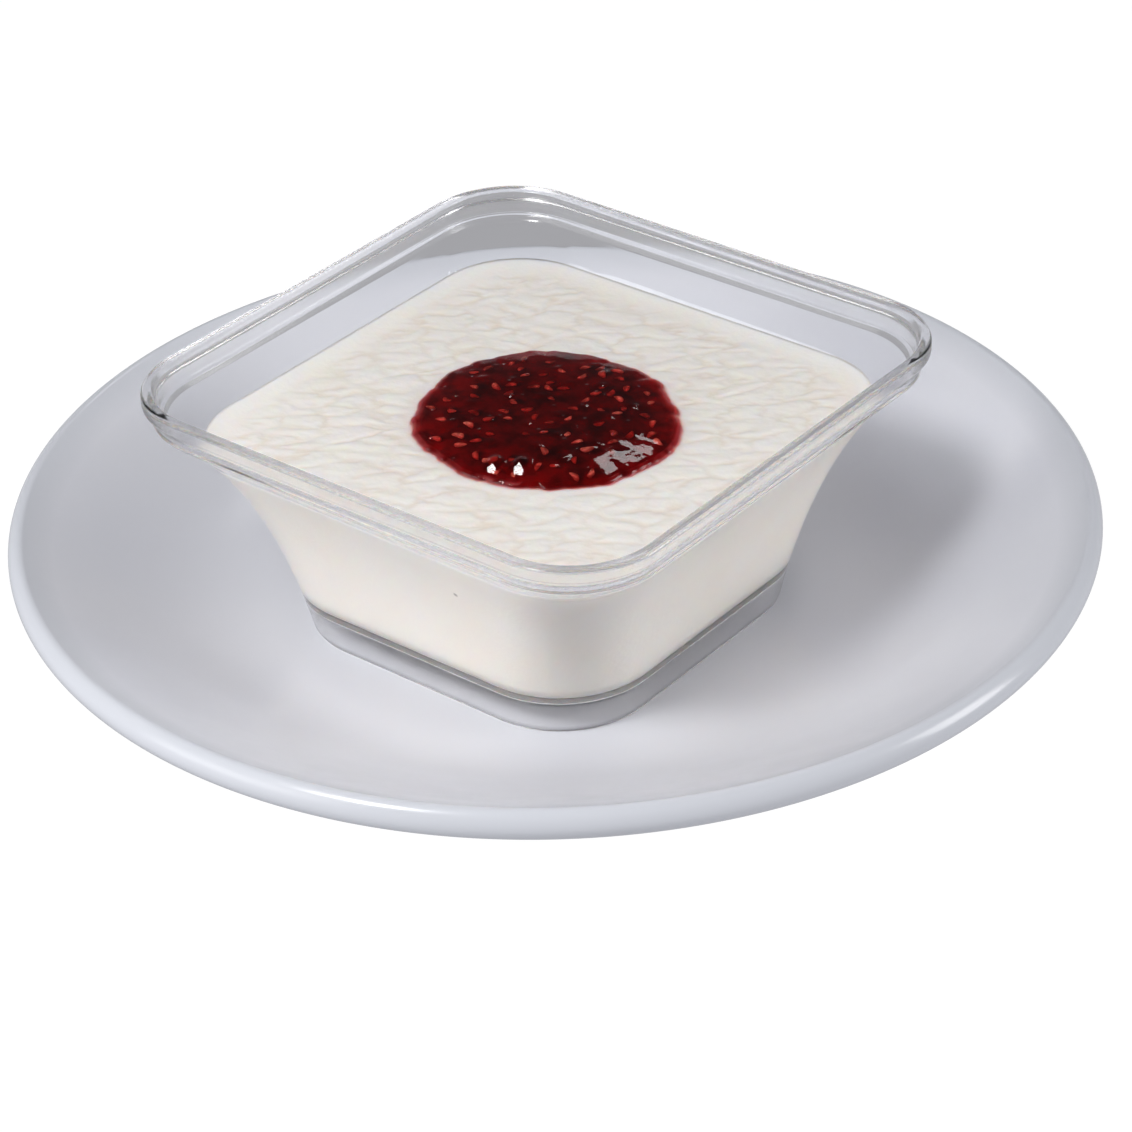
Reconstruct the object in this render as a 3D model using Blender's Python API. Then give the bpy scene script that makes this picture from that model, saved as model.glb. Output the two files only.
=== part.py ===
"""Milk pudding with raspberry jam, set in a clear square dish that stands on a round white plate.

Four separate pieces: plate, dish, pudding, jam. Metres, +Z up. The origin is the middle of the
plate's foot on the table, and the dish's walls run along X and Y.
"""

import math
import random

import bmesh
import bpy
from mathutils import Matrix, Vector

MM = 0.001
TOUCH_GAP = 0.3 * MM  # left between two pieces that touch

# Plate: a coupe plate with a thick rolled rim, turned about Z.
PLATE_RADIUS = 100 * MM
RIM_RADIUS = 3.1 * MM
RIM_MIDDLE_HEIGHT = 20.9 * MM  # of the rim's centreline
RIM_CREST_RADIUS = 1.5 * MM
WALL_RISE = 31  # degrees, where the inner wall meets the crest
WELL_HEIGHT = 5.5 * MM
WELL_FLAT_RADIUS = 54 * MM
FOOT_RING_RADIUS = 57 * MM
FOOT_RING_WIDTH = 3.6 * MM
FOOT_RECESS = 1.7 * MM
PLATE_STEPS = 80

# Dish: injection moulded, square with round corners, flared like a bell above an open foot.
DISH_CENTRE = (3.4 * MM, -7.0 * MM)
DISH_HEIGHT = 50 * MM
DISH_HALF_WIDTH = 54.9 * MM
DISH_CORNER_RADIUS = 17.6 * MM
CORNER_SWELL = 1.6 * MM  # the corners are rounder half-way up
LIP_WIDTH = 2.5 * MM
LIP_DEPTH = 2.6 * MM
LIP_FILLET = 0.55 * MM
COLLAR_HALF_WIDTH = 53.8 * MM
WALL = 1.5 * MM
COLLAR_BOTTOM = 44.6 * MM
LEDGE_HEIGHT = 45.4 * MM
LEDGE_WIDTH = 0.8 * MM
FLOOR_TOP = 7.8 * MM
FLOOR_BOTTOM = 6.4 * MM
FOOT_HALF_WIDTH = 35.8 * MM
BELL_HANDLES = ((44.9 * MM, 44.4 * MM), (53.3 * MM, 42.0 * MM))  # of the outer wall's curve
BELL_STEPS = 11
CORNER_STEPS = 8
SIDE_STEPS = 3

# Pudding: fills the dish to well below the lip, with its skin drawn up at the wall.
PUDDING_LEVEL = 38.3 * MM  # above the dish's foot
MENISCUS_RISE = 1.0 * MM
MENISCUS_WIDTH = 4.5 * MM
PUDDING_FLOOR_FILLET = 1.6 * MM

# Jam: a low pool in a shallow dip of the skin.
JAM_OFFSET = (1.9 * MM, -0.5 * MM)  # from the dish's middle
JAM_RADIUS = 24.1 * MM
JAM_CROWN = 2.6 * MM  # above the pudding's level
JAM_EDGE_RADIUS = 0.45 * MM  # of its round brink
JAM_FLAT = 0.4  # share of its radius that is level
JAM_DIP = 0.8 * MM
JAM_DIP_SHOULDER = 3.0 * MM
JAM_STEPS = 48
JAM_WAVES = ((2, 0.034, 1.94), (3, 0.009, 1.5), (5, 0.008, 1.0), (7, 0.011, -0.9))  # lobes, share, phase

# Raspberry seeds that stand proud of the jam.
SEED_COUNT = 24
SEED_LENGTH = 2.2 * MM
SEED_WIDTH = 1.3 * MM
SEED_PROUD = 0.35 * MM
SEED_REACH = 0.80  # share of the jam's radius that holds them

DISH_FOOT_HEIGHT = WELL_HEIGHT + TOUCH_GAP


def clear_scene():
    for thing in list(bpy.data.objects):
        bpy.data.objects.remove(thing, do_unlink=True)


def make_material(name, colour, roughness, transmission=0.0, alpha=1.0):
    material = bpy.data.materials.new(name)
    material.use_nodes = True
    shader = material.node_tree.nodes["Principled BSDF"]
    shader.inputs["Base Color"].default_value = (*colour, 1.0)
    shader.inputs["Roughness"].default_value = roughness
    shader.inputs["Metallic"].default_value = 0.0
    shader.inputs["Transmission Weight"].default_value = transmission
    shader.inputs["Alpha"].default_value = alpha
    material.diffuse_color = (*colour, alpha)
    return material


def bezier(start, handle_a, handle_b, end, share):
    """Point on a cubic curve in a (half width, height) or (radius, height) section."""
    rest = 1.0 - share
    weights = (rest**3, 3 * rest * rest * share, 3 * rest * share * share, share**3)
    points = (start, handle_a, handle_b, end)
    return tuple(sum(w * p[axis] for w, p in zip(weights, points)) for axis in range(2))


def circle_ring(radius, height, steps, centre=(0.0, 0.0)):
    ring = []
    for i in range(steps):
        angle = 2 * math.pi * i / steps
        x = centre[0] + radius * math.cos(angle)
        y = centre[1] + radius * math.sin(angle)
        ring.append(Vector((x, y, height)))
    return ring


def square_ring(half, corner, height):
    """A square with round corners about the dish's middle, its sides cut into short steps."""
    centre_x, centre_y = DISH_CENTRE
    ring = []
    for quarter in range(4):
        turn = Matrix.Rotation(quarter * math.pi / 2, 2)
        for i in range(SIDE_STEPS):
            along = -1 + 2 * i / SIDE_STEPS
            ring.append(turn @ Vector((half, along * (half - corner))))
        for i in range(CORNER_STEPS):
            angle = 0.5 * math.pi * i / CORNER_STEPS
            reach = half - corner
            arc = Vector((reach + corner * math.cos(angle), reach + corner * math.sin(angle)))
            ring.append(turn @ arc)
    return [Vector((centre_x + p.x, centre_y + p.y, height)) for p in ring]


def loft(name, rings, material):
    """A closed solid through rings of equally many points, capped flat at both ends.

    The rings run so that the outside lies on the right of the section's direction of travel.
    """
    mesh = bpy.data.meshes.new(name)
    bm = bmesh.new()
    made = [[bm.verts.new(point) for point in ring] for ring in rings]
    count = len(rings[0])
    for lower, upper in zip(made, made[1:]):
        for i in range(count):
            j = (i + 1) % count
            bm.faces.new((lower[i], lower[j], upper[j], upper[i]))
    bm.faces.new(list(reversed(made[0])))
    bm.faces.new(made[-1])
    bmesh.ops.recalc_face_normals(bm, faces=bm.faces)
    bm.to_mesh(mesh)
    bm.free()
    mesh.materials.append(material)
    mesh.shade_smooth()
    mesh.set_sharp_from_angle(angle=math.radians(40))
    piece = bpy.data.objects.new(name, mesh)
    bpy.context.collection.objects.link(piece)
    return piece


# Plate


def arc_points(centre, radius, start_degrees, end_degrees, steps):
    points = []
    for i in range(steps + 1):
        angle = math.radians(start_degrees + (end_degrees - start_degrees) * i / steps)
        points.append((centre[0] + radius * math.cos(angle), centre[1] + radius * math.sin(angle)))
    return points


def step_along(point, degrees, distance):
    angle = math.radians(degrees)
    return (point[0] + distance * math.cos(angle), point[1] + distance * math.sin(angle))


def plate_section():
    """(radius, height) from the middle of the underside, round the rim, to the well's middle."""
    ring_inner = FOOT_RING_RADIUS - FOOT_RING_WIDTH
    foot = [
        (ring_inner - 2.4 * MM, FOOT_RECESS),
        (ring_inner - 0.6 * MM, 0.5 * MM),
        (ring_inner, 0.0),
        (FOOT_RING_RADIUS, 0.0),
        (FOOT_RING_RADIUS + 0.7 * MM, 0.6 * MM),
        (FOOT_RING_RADIUS + 1.6 * MM, 1.9 * MM),
    ]
    rim_middle = (PLATE_RADIUS - RIM_RADIUS, RIM_MIDDLE_HEIGHT)
    rim = arc_points(rim_middle, RIM_RADIUS, -62, 57.5, 7)
    crest_middle = step_along(rim_middle, 57.5, RIM_RADIUS - RIM_CREST_RADIUS)
    rim += arc_points(crest_middle, RIM_CREST_RADIUS, 57.5, 90 + WALL_RISE, 3)[1:]
    under_handle = step_along(rim[0], -62 - 90, 14 * MM)
    under = [
        bezier(foot[-1], (72 * MM, 4.8 * MM), under_handle, rim[0], share / 6)
        for share in range(1, 6)
    ]
    well_edge = (WELL_FLAT_RADIUS, WELL_HEIGHT)
    wall_handle = step_along(rim[-1], 180 + WALL_RISE, 22 * MM)
    well = [
        bezier(rim[-1], wall_handle, (68 * MM, WELL_HEIGHT), well_edge, share / 7)
        for share in range(1, 8)
    ]
    return foot + under + rim + well


def make_plate(material):
    rings = [circle_ring(radius, height, PLATE_STEPS) for radius, height in plate_section()]
    return loft("plate", rings, material)


# Dish


def corner_radius(half, height):
    """Corner radius of the outer wall at a height above the dish's foot, less any inset."""
    swell = CORNER_SWELL * math.sin(math.pi * min(height / COLLAR_BOTTOM, 1.0))
    inset = max(outer_half(height) - half, 0.0)
    return DISH_CORNER_RADIUS + swell - inset


def bell_point(share):
    """(half width, height) on the outer wall from the foot, 0, to the collar, 1."""
    start = (FOOT_HALF_WIDTH, 0.0)
    end = (COLLAR_HALF_WIDTH - 0.2 * MM, COLLAR_BOTTOM)
    return bezier(start, *BELL_HANDLES, end, share)


def bell_slope(share):
    """Unit vector along the outer wall, and so the way to step through its thickness."""
    step = 0.01
    low = bell_point(max(share - step, 0.0))
    high = bell_point(min(share + step, 1.0))
    return Vector((high[0] - low[0], high[1] - low[1])).normalized()


def bell_share(height):
    """The share of the curve at which the outer wall reaches a height."""
    low, high = 0.0, 1.0
    for _ in range(40):
        middle = 0.5 * (low + high)
        if bell_point(middle)[1] < height:
            low = middle
        else:
            high = middle
    return 0.5 * (low + high)


def outer_half(height):
    if height >= DISH_HEIGHT - LIP_DEPTH:
        return DISH_HALF_WIDTH
    if height >= COLLAR_BOTTOM:
        return COLLAR_HALF_WIDTH
    return bell_point(bell_share(height))[0]


def inner_point(share):
    """(half width, height) on the inner wall, one wall thickness in from the outer curve."""
    along = bell_slope(share)
    half, height = bell_point(share)
    return half - WALL * along.y, height + WALL * along.x


def inner_half(height):
    """Half width of the inner wall at a height above the dish's foot."""
    low, high = 0.0, 1.0
    for _ in range(40):
        middle = 0.5 * (low + high)
        if inner_point(middle)[1] < height:
            low = middle
        else:
            high = middle
    return inner_point(0.5 * (low + high))[0]


def bell_shares(lowest, highest):
    return [lowest + (highest - lowest) * i / BELL_STEPS for i in range(BELL_STEPS + 1)]


def dish_section():
    """(half width, height) from under the floor, over the lip, to the floor's inside."""
    foot_inner = FOOT_HALF_WIDTH - WALL
    skirt_top = inner_half(FLOOR_BOTTOM)
    under = [
        (skirt_top - 0.8 * MM, FLOOR_BOTTOM),
        (skirt_top - 0.1 * MM, FLOOR_BOTTOM - 0.6 * MM),
        (foot_inner + 0.2 * MM, 0.3 * MM),
        (foot_inner + 0.5 * MM, 0.0),
        (FOOT_HALF_WIDTH - 0.3 * MM, 0.0),
    ]
    outer = [bell_point(share) for share in bell_shares(0.01, 0.93)]
    lip_bottom = DISH_HEIGHT - LIP_DEPTH
    inner_lip = DISH_HALF_WIDTH - LIP_WIDTH
    collar = [
        (COLLAR_HALF_WIDTH - 0.15 * MM, COLLAR_BOTTOM - 0.3 * MM),
        (COLLAR_HALF_WIDTH, COLLAR_BOTTOM + 0.3 * MM),
        (COLLAR_HALF_WIDTH, lip_bottom - 0.15 * MM),
        (DISH_HALF_WIDTH - 0.3 * MM, lip_bottom),
        (DISH_HALF_WIDTH, lip_bottom + 0.3 * MM),
        (DISH_HALF_WIDTH, DISH_HEIGHT - LIP_FILLET),
        (DISH_HALF_WIDTH - 0.3 * LIP_FILLET, DISH_HEIGHT - 0.3 * LIP_FILLET),
        (DISH_HALF_WIDTH - LIP_FILLET, DISH_HEIGHT),
        (inner_lip + LIP_FILLET, DISH_HEIGHT),
        (inner_lip + 0.3 * LIP_FILLET, DISH_HEIGHT - 0.3 * LIP_FILLET),
        (inner_lip, DISH_HEIGHT - LIP_FILLET),
        (inner_lip, LEDGE_HEIGHT + 0.35 * MM),
        (inner_lip - 0.25 * MM, LEDGE_HEIGHT),
        (inner_lip - LEDGE_WIDTH, LEDGE_HEIGHT - 0.2 * MM),
    ]
    top_share, bottom_share = 0.78, bell_share(FLOOR_TOP + PUDDING_FLOOR_FILLET)
    inner = [inner_point(share) for share in reversed(bell_shares(bottom_share, top_share))]
    floor_half = inner_half(FLOOR_TOP)
    floor = [
        (floor_half - 0.35 * PUDDING_FLOOR_FILLET, FLOOR_TOP + 0.3 * PUDDING_FLOOR_FILLET),
        (floor_half - PUDDING_FLOOR_FILLET, FLOOR_TOP),
    ]
    return under + outer + collar + inner + floor


def dish_rings(section):
    rings = []
    for half, height in section:
        rings.append(square_ring(half, corner_radius(half, height), DISH_FOOT_HEIGHT + height))
    return rings


def make_dish(material):
    return loft("dish", dish_rings(dish_section()), material)


# Pudding


def jam_middle():
    return Vector((DISH_CENTRE[0] + JAM_OFFSET[0], DISH_CENTRE[1] + JAM_OFFSET[1]))


def smooth_step(share):
    share = min(max(share, 0.0), 1.0)
    return share * share * (3 - 2 * share)


def jam_reach(angle):
    """The pool's uneven radius."""
    waves = sum(share * math.sin(lobes * angle + phase) for lobes, share, phase in JAM_WAVES)
    return JAM_RADIUS * (1 + waves)


def skin_height(inset):
    """Height of the pudding's skin above the dish's foot, a distance inside the jam's outline."""
    return PUDDING_LEVEL - JAM_DIP * smooth_step(inset / JAM_DIP_SHOULDER)


def dip_ring(pattern, inset):
    """The jam's outline drawn in, with points that stand opposite those of a square ring."""
    middle = jam_middle()
    ring = []
    for point in pattern:
        away = Vector((point.x, point.y)) - middle
        radius = jam_reach(math.atan2(away.y, away.x)) - inset
        x, y = middle + away.normalized() * radius
        ring.append(Vector((x, y, DISH_FOOT_HEIGHT + skin_height(inset))))
    return ring


def blended(ring_a, ring_b, share):
    return [a.lerp(b, share) for a, b in zip(ring_a, ring_b)]


def pudding_sides():
    bottom = FLOOR_TOP + TOUCH_GAP
    floor_half = inner_half(bottom) - TOUCH_GAP
    fillet = PUDDING_FLOOR_FILLET + TOUCH_GAP
    section = [(floor_half - 1.4 * fillet, bottom), (floor_half - 0.5 * fillet, bottom + 0.5 * fillet)]
    top = PUDDING_LEVEL + MENISCUS_RISE
    lowest, highest = bell_share(bottom + 1.2 * fillet), bell_share(top) - 0.01
    for i in range(BELL_STEPS + 1):
        half, height = inner_point(lowest + (highest - lowest) * i / BELL_STEPS)
        if height < top - 0.4 * MM:
            section.append((half - 1.2 * TOUCH_GAP, height))
    section.append((inner_half(top) - 1.2 * TOUCH_GAP, top))
    return dish_rings(section)


def pudding_skin(edge):
    """Rings from the wall inwards: the drawn-up edge, a level skin, then the dip for the jam."""
    level = DISH_FOOT_HEIGHT + PUDDING_LEVEL
    half = inner_half(PUDDING_LEVEL + MENISCUS_RISE) - 1.2 * TOUCH_GAP
    rings = []
    for share in (0.15, 0.4, 0.7, 1.0):
        inset = half - share * MENISCUS_WIDTH
        height = level + MENISCUS_RISE * (1 - share) ** 2
        rings.append(square_ring(inset, corner_radius(inset, PUDDING_LEVEL), height))
    brink = dip_ring(edge, -JAM_DIP_SHOULDER)
    flat = rings[-1]
    rings += [blended(flat, brink, share) for share in (0.35, 0.7, 1.0)]
    for depth_share in (0.0, 0.33, 0.67, 1.0, 4.0):
        rings.append(dip_ring(edge, depth_share * JAM_DIP_SHOULDER))
    return rings


def make_pudding(material):
    sides = pudding_sides()
    return loft("pudding", sides + pudding_skin(sides[-1]), material)


# Jam


def jam_top(share):
    """Height of the pool above the dish's foot, at a share of its radius: level, then falling."""
    brink = PUDDING_LEVEL + TOUCH_GAP + 2 * JAM_EDGE_RADIUS
    fall = max(share - JAM_FLAT, 0.0) / (1 - JAM_FLAT)
    return brink + (PUDDING_LEVEL + JAM_CROWN - brink) * (1 - fall * fall)


def jam_ring(inset, height):
    """The pool's outline drawn in from its brink by a distance."""
    middle = jam_middle()
    share = 1 - inset / JAM_RADIUS
    ring = []
    for i in range(JAM_STEPS):
        angle = 2 * math.pi * i / JAM_STEPS
        radius = share * jam_reach(angle)
        x, y = middle.x + radius * math.cos(angle), middle.y + radius * math.sin(angle)
        ring.append(Vector((x, y, DISH_FOOT_HEIGHT + height)))
    return ring


def make_jam_pool(material):
    """Its underside follows the dip, its brink is round and its top is a low dome."""
    clearance = 1.2 * TOUCH_GAP
    rings = []
    for inset in (0.8 * JAM_RADIUS, 0.4 * JAM_RADIUS, 3.4 * MM, 2.5 * MM, 1.6 * MM, 0.9 * MM):
        rings.append(jam_ring(inset, skin_height(inset) + clearance))
    edge_middle = PUDDING_LEVEL + TOUCH_GAP + JAM_EDGE_RADIUS
    for degrees in (-50, -15, 20, 55):
        angle = math.radians(degrees)
        inset = JAM_EDGE_RADIUS * (1 - math.cos(angle))
        rings.append(jam_ring(inset, edge_middle + JAM_EDGE_RADIUS * math.sin(angle)))
    for share in (0.965, 0.88, 0.7, 0.45, 0.2):
        rings.append(jam_ring((1 - share) * JAM_RADIUS, jam_top(share)))
    return loft("jam", rings, material)


def seed_places():
    """Spots spread over the jam by a fixed spiral, each nudged a little."""
    draw = random.Random(7)
    golden = math.pi * (3 - math.sqrt(5))
    places = []
    for i in range(SEED_COUNT):
        share = SEED_REACH * math.sqrt((i + 0.5) / SEED_COUNT)
        angle = i * golden + draw.uniform(-0.12, 0.12)
        places.append((share, angle, draw.uniform(0, math.pi)))
    return places


def add_seeds(jam, material):
    """Low seeds fused to the pool's top."""
    seeds = bpy.data.collections.new("seeds")
    middle = jam_middle()
    for share, angle, turn in seed_places():
        radius = share * jam_reach(angle)
        height = DISH_FOOT_HEIGHT + jam_top(share) + SEED_PROUD - 0.5 * SEED_WIDTH
        place = (middle.x + radius * math.cos(angle), middle.y + radius * math.sin(angle), height)
        mesh = bpy.data.meshes.new("seed")
        bm = bmesh.new()
        bmesh.ops.create_uvsphere(bm, u_segments=7, v_segments=4, radius=0.5)
        size = Matrix.Diagonal((SEED_LENGTH, SEED_WIDTH, SEED_WIDTH, 1))
        bm.transform(Matrix.Translation(place) @ Matrix.Rotation(turn, 4, "Z") @ size)
        bm.to_mesh(mesh)
        bm.free()
        mesh.materials.append(material)
        seeds.objects.link(bpy.data.objects.new("seed", mesh))
    fuse = jam.modifiers.new("seeds", "BOOLEAN")
    fuse.operation = "UNION"
    fuse.operand_type = "COLLECTION"
    fuse.collection = seeds
    fuse.solver = "EXACT"
    fused = bpy.data.meshes.new_from_object(jam.evaluated_get(bpy.context.evaluated_depsgraph_get()))
    jam.modifiers.clear()
    jam.data = fused
    for seed in list(seeds.objects):
        bpy.data.objects.remove(seed, do_unlink=True)
    bpy.data.collections.remove(seeds)
    fused.name = "jam"
    fused.shade_smooth()
    fused.set_sharp_from_angle(angle=math.radians(40))


def main():
    clear_scene()
    white_glaze = make_material("white glaze", (0.78, 0.79, 0.82), 0.12)
    clear_plastic = make_material("clear plastic", (0.97, 0.97, 0.98), 0.03, 1.0, 0.35)
    milk = make_material("set milk", (0.86, 0.80, 0.70), 0.42)
    red_jam = make_material("raspberry jam", (0.20, 0.012, 0.014), 0.12)
    make_plate(white_glaze)
    make_dish(clear_plastic)
    make_pudding(milk)
    jam = make_jam_pool(red_jam)
    add_seeds(jam, red_jam)


main()
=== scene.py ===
# %% [markdown]
# # Milk pudding with raspberry jam
#
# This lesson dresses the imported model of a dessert. A set milk pudding fills a clear square dish with
# an open foot, a pool of raspberry jam lies on its skin, and the dish stands on a round white plate.
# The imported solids, called the frame here, fix every place and size. The cells below build a finer
# mesh for each of them, give it a finish, and let it ride on the solid that it stands for.

# %% The frame
import math
import random

import bmesh
import bpy
from mathutils import Matrix, Vector


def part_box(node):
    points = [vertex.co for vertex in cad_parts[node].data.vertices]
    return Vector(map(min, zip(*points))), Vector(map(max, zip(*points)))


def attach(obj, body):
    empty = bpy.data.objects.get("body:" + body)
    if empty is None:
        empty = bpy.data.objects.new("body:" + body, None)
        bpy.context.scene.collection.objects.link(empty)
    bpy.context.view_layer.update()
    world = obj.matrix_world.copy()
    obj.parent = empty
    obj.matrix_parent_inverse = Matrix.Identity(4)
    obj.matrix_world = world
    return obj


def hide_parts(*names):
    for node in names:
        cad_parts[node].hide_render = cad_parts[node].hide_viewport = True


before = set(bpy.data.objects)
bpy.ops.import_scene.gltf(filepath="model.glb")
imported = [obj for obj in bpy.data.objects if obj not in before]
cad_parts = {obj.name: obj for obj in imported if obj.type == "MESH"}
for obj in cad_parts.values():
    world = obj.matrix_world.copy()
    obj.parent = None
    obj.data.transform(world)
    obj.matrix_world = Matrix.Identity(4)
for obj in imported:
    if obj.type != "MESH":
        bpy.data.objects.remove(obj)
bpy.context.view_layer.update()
MM = 0.001
print("solids:", sorted(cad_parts))

# %% [markdown]
# ## Where things are
#
# Typing places by hand would let the finish drift away from the solids, so each one is read from the
# frame: the dish's middle, the level of its foot and its lip, and the plate's foot and rim.

# %% Places read from the frame
plate_low, plate_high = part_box("plate")
dish_low, dish_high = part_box("dish")
plate_radius = plate_high.x
dish_x = 0.5 * (dish_low.x + dish_high.x)
dish_y = 0.5 * (dish_low.y + dish_high.y)
foot_z = dish_low.z
dish_height = dish_high.z - dish_low.z
lip_half = 0.5 * (dish_high.x - dish_low.x)
print(f"dish {2 * lip_half / MM:.1f} mm square and {dish_height / MM:.1f} mm high")
print(f"its foot is {foot_z / MM:.1f} mm above the table")

# %% [markdown]
# ## The camera
#
# The dessert is looked at from above, over one of the dish's corners, with a long lens. A long lens
# from half a metre away keeps the dish's far side nearly as large as its near side. The camera is
# made first, so that every later cell can be judged in the picture.

# %% Camera
CAMERA_PLACE = Vector((0.3469, -0.4182, 0.3535))
CAMERA_TURN = math.radians(39.49)
CAMERA_DROP = math.radians(32.49)
CAMERA_ROLL = math.radians(-1.97)
CAMERA_LENS = 110.0

camera = bpy.data.objects.new("camera", bpy.data.cameras.new("camera"))
bpy.context.collection.objects.link(camera)
turn = Matrix.Rotation(CAMERA_TURN, 4, "Z")
tilt = Matrix.Rotation(math.pi / 2 - CAMERA_DROP, 4, "X")
roll = Matrix.Rotation(CAMERA_ROLL, 4, "Z")
camera.matrix_world = Matrix.Translation(CAMERA_PLACE) @ turn @ tilt @ roll
camera.data.lens = CAMERA_LENS
camera.data.clip_start = 0.01
bpy.context.scene.camera = camera
print("camera at", [round(c, 3) for c in CAMERA_PLACE])

# %% [markdown]
# ## Small tools for nodes
#
# Shader trees and geometry trees are wired in the same way. One helper adds a node, sets its options,
# and fills its inputs with plain values or with the outputs of other nodes. Another makes a material
# around one Principled shader, which stays in the material itself. Short helpers stand for the nodes
# that come back most: a sum, a colour between two colours, and a value moved between two limits.

# %% Node helpers
def add(tree, kind, inputs=None, **options):
    """A new node. Each input is a plain value, or the socket that feeds it."""
    made = tree.nodes.new(kind)
    for name, value in options.items():
        setattr(made, name, value)
    for name, value in (inputs or {}).items():
        if isinstance(value, bpy.types.NodeSocket):
            tree.links.new(value, made.inputs[name])
        else:
            made.inputs[name].default_value = value
    return made


def principled(name, values):
    """A material and its Principled shader, with plain values on the shader's own sockets."""
    material = bpy.data.materials.new(name)
    material.use_nodes = True
    shader = material.node_tree.nodes["Principled BSDF"]
    for socket, value in values.items():
        shader.inputs[socket].default_value = value
    return material, shader


def place_in(tree):
    """Where a point of the surface is, in the piece's own metres."""
    return add(tree, "ShaderNodeTexCoord").outputs["Object"]


def flat_place_in(tree):
    """The same place with its height left out."""
    return add(tree, "ShaderNodeVectorMath", {0: place_in(tree), 1: (1.0, 1.0, 0.0)},
               operation="MULTIPLY").outputs[0]


def height_of(tree, direction):
    """The upward part of a place or a direction."""
    return add(tree, "ShaderNodeSeparateXYZ", {0: direction}).outputs[2]


def maths(tree, operation, *values):
    """One sum of a Math node."""
    return add(tree, "ShaderNodeMath", dict(enumerate(values)), operation=operation).outputs[0]


def blend(tree, share, first, second):
    """A colour between two, by a mask."""
    return add(tree, "ShaderNodeMix", {"Factor": share, "A": first, "B": second},
               data_type="RGBA").outputs["Result"]


def ramp(tree, value, start, end, low=0.0, high=1.0):
    """A value moved from low to high between two limits, and held beyond them."""
    return add(tree, "ShaderNodeMapRange", {
        "Value": value, "From Min": start, "From Max": end, "To Min": low, "To Max": high}).outputs[0]


def add_bump(tree, shader, height, strength, distance):
    """Fine unevenness on the shader's normal."""
    bump = add(tree, "ShaderNodeBump", {"Height": height, "Strength": strength, "Distance": distance})
    tree.links.new(bump.outputs["Normal"], shader.inputs["Normal"])


print("node helpers ready")

# %% [markdown]
# ## A shared effect: mottle
#
# Glaze, milk skin and jam are all slightly uneven. One shader group makes that unevenness for all of
# them: soft clouds of a given size, moved between two limits. It puts out only a mask, which each
# material uses for its own colour, roughness or bump.

# %% Mottle group
def make_mottle():
    group = bpy.data.node_groups.new("mottle", "ShaderNodeTree")
    for name, start in (("Patches Per Metre", 100.0), ("Detail", 2.0), ("Low", 0.0), ("High", 1.0)):
        socket = group.interface.new_socket(name, in_out="INPUT", socket_type="NodeSocketFloat")
        socket.default_value = start
    group.interface.new_socket("Place", in_out="INPUT", socket_type="NodeSocketVector")
    group.interface.new_socket("Mask", in_out="OUTPUT", socket_type="NodeSocketFloat")
    given = add(group, "NodeGroupInput").outputs
    clouds = add(group, "ShaderNodeTexNoise", {
        "Vector": given["Place"], "Scale": given["Patches Per Metre"], "Detail": given["Detail"]})
    spread = add(group, "ShaderNodeMapRange", {
        "Value": clouds.outputs[0], "From Min": 0.3, "From Max": 0.7,
        "To Min": given["Low"], "To Max": given["High"]}, interpolation_type="SMOOTHSTEP")
    add(group, "NodeGroupOutput", {"Mask": spread.outputs[0]})
    return group


mottle_group = make_mottle()


def mottle(tree, patches, detail=2.0, low=0.0, high=1.0):
    """The mask of one use of the group."""
    return add(tree, "ShaderNodeGroup", {
        "Place": place_in(tree), "Patches Per Metre": patches, "Detail": detail,
        "Low": low, "High": high}, node_tree=mottle_group).outputs["Mask"]


def speck(tree, spot, radius):
    """A mask of one small stain round a place on the piece."""
    away = add(tree, "ShaderNodeVectorMath", {0: place_in(tree), 1: spot}, operation="DISTANCE")
    return ramp(tree, away.outputs["Value"], 0.4 * radius, radius, 1.0, 0.0)


print("mottle group has", len(mottle_group.nodes), "nodes")

# %% [markdown]
# ## Finishes
#
# The plate is white glazed ware: nearly white, a little cool, with a soft gloss that varies slightly.
# The rim's colour is a shade darker than the well's, which is painted shade on the rim.

# %% Glaze
RIM_PAINTED_SHADE_START = 92 * MM
RIM_PAINTED_SHADE_END = 97 * MM


def make_glaze():
    material, shader = principled("white_glaze", {
        "Roughness": 0.16, "IOR": 1.5, "Coat Weight": 0.08, "Coat Roughness": 0.08})
    tree = material.node_tree
    well = blend(tree, mottle(tree, 22.0), (0.80, 0.815, 0.875, 1), (0.83, 0.84, 0.89, 1))
    out = add(tree, "ShaderNodeVectorMath", {0: flat_place_in(tree)}, operation="LENGTH").outputs["Value"]
    # Painted shade: the glaze colour darkens towards the rim.
    painted_rim_shade = ramp(tree, out, RIM_PAINTED_SHADE_START, RIM_PAINTED_SHADE_END)
    tree.links.new(blend(tree, painted_rim_shade, well, (0.71, 0.73, 0.78, 1)), shader.inputs["Base Color"])
    tree.links.new(mottle(tree, 60.0, 4.0, 0.19, 0.25), shader.inputs["Roughness"])
    add_bump(tree, shader, mottle(tree, 120.0), 0.03, 0.4 * MM)
    return material


white_glaze = make_glaze()
print("finish:", white_glaze.name)
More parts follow.
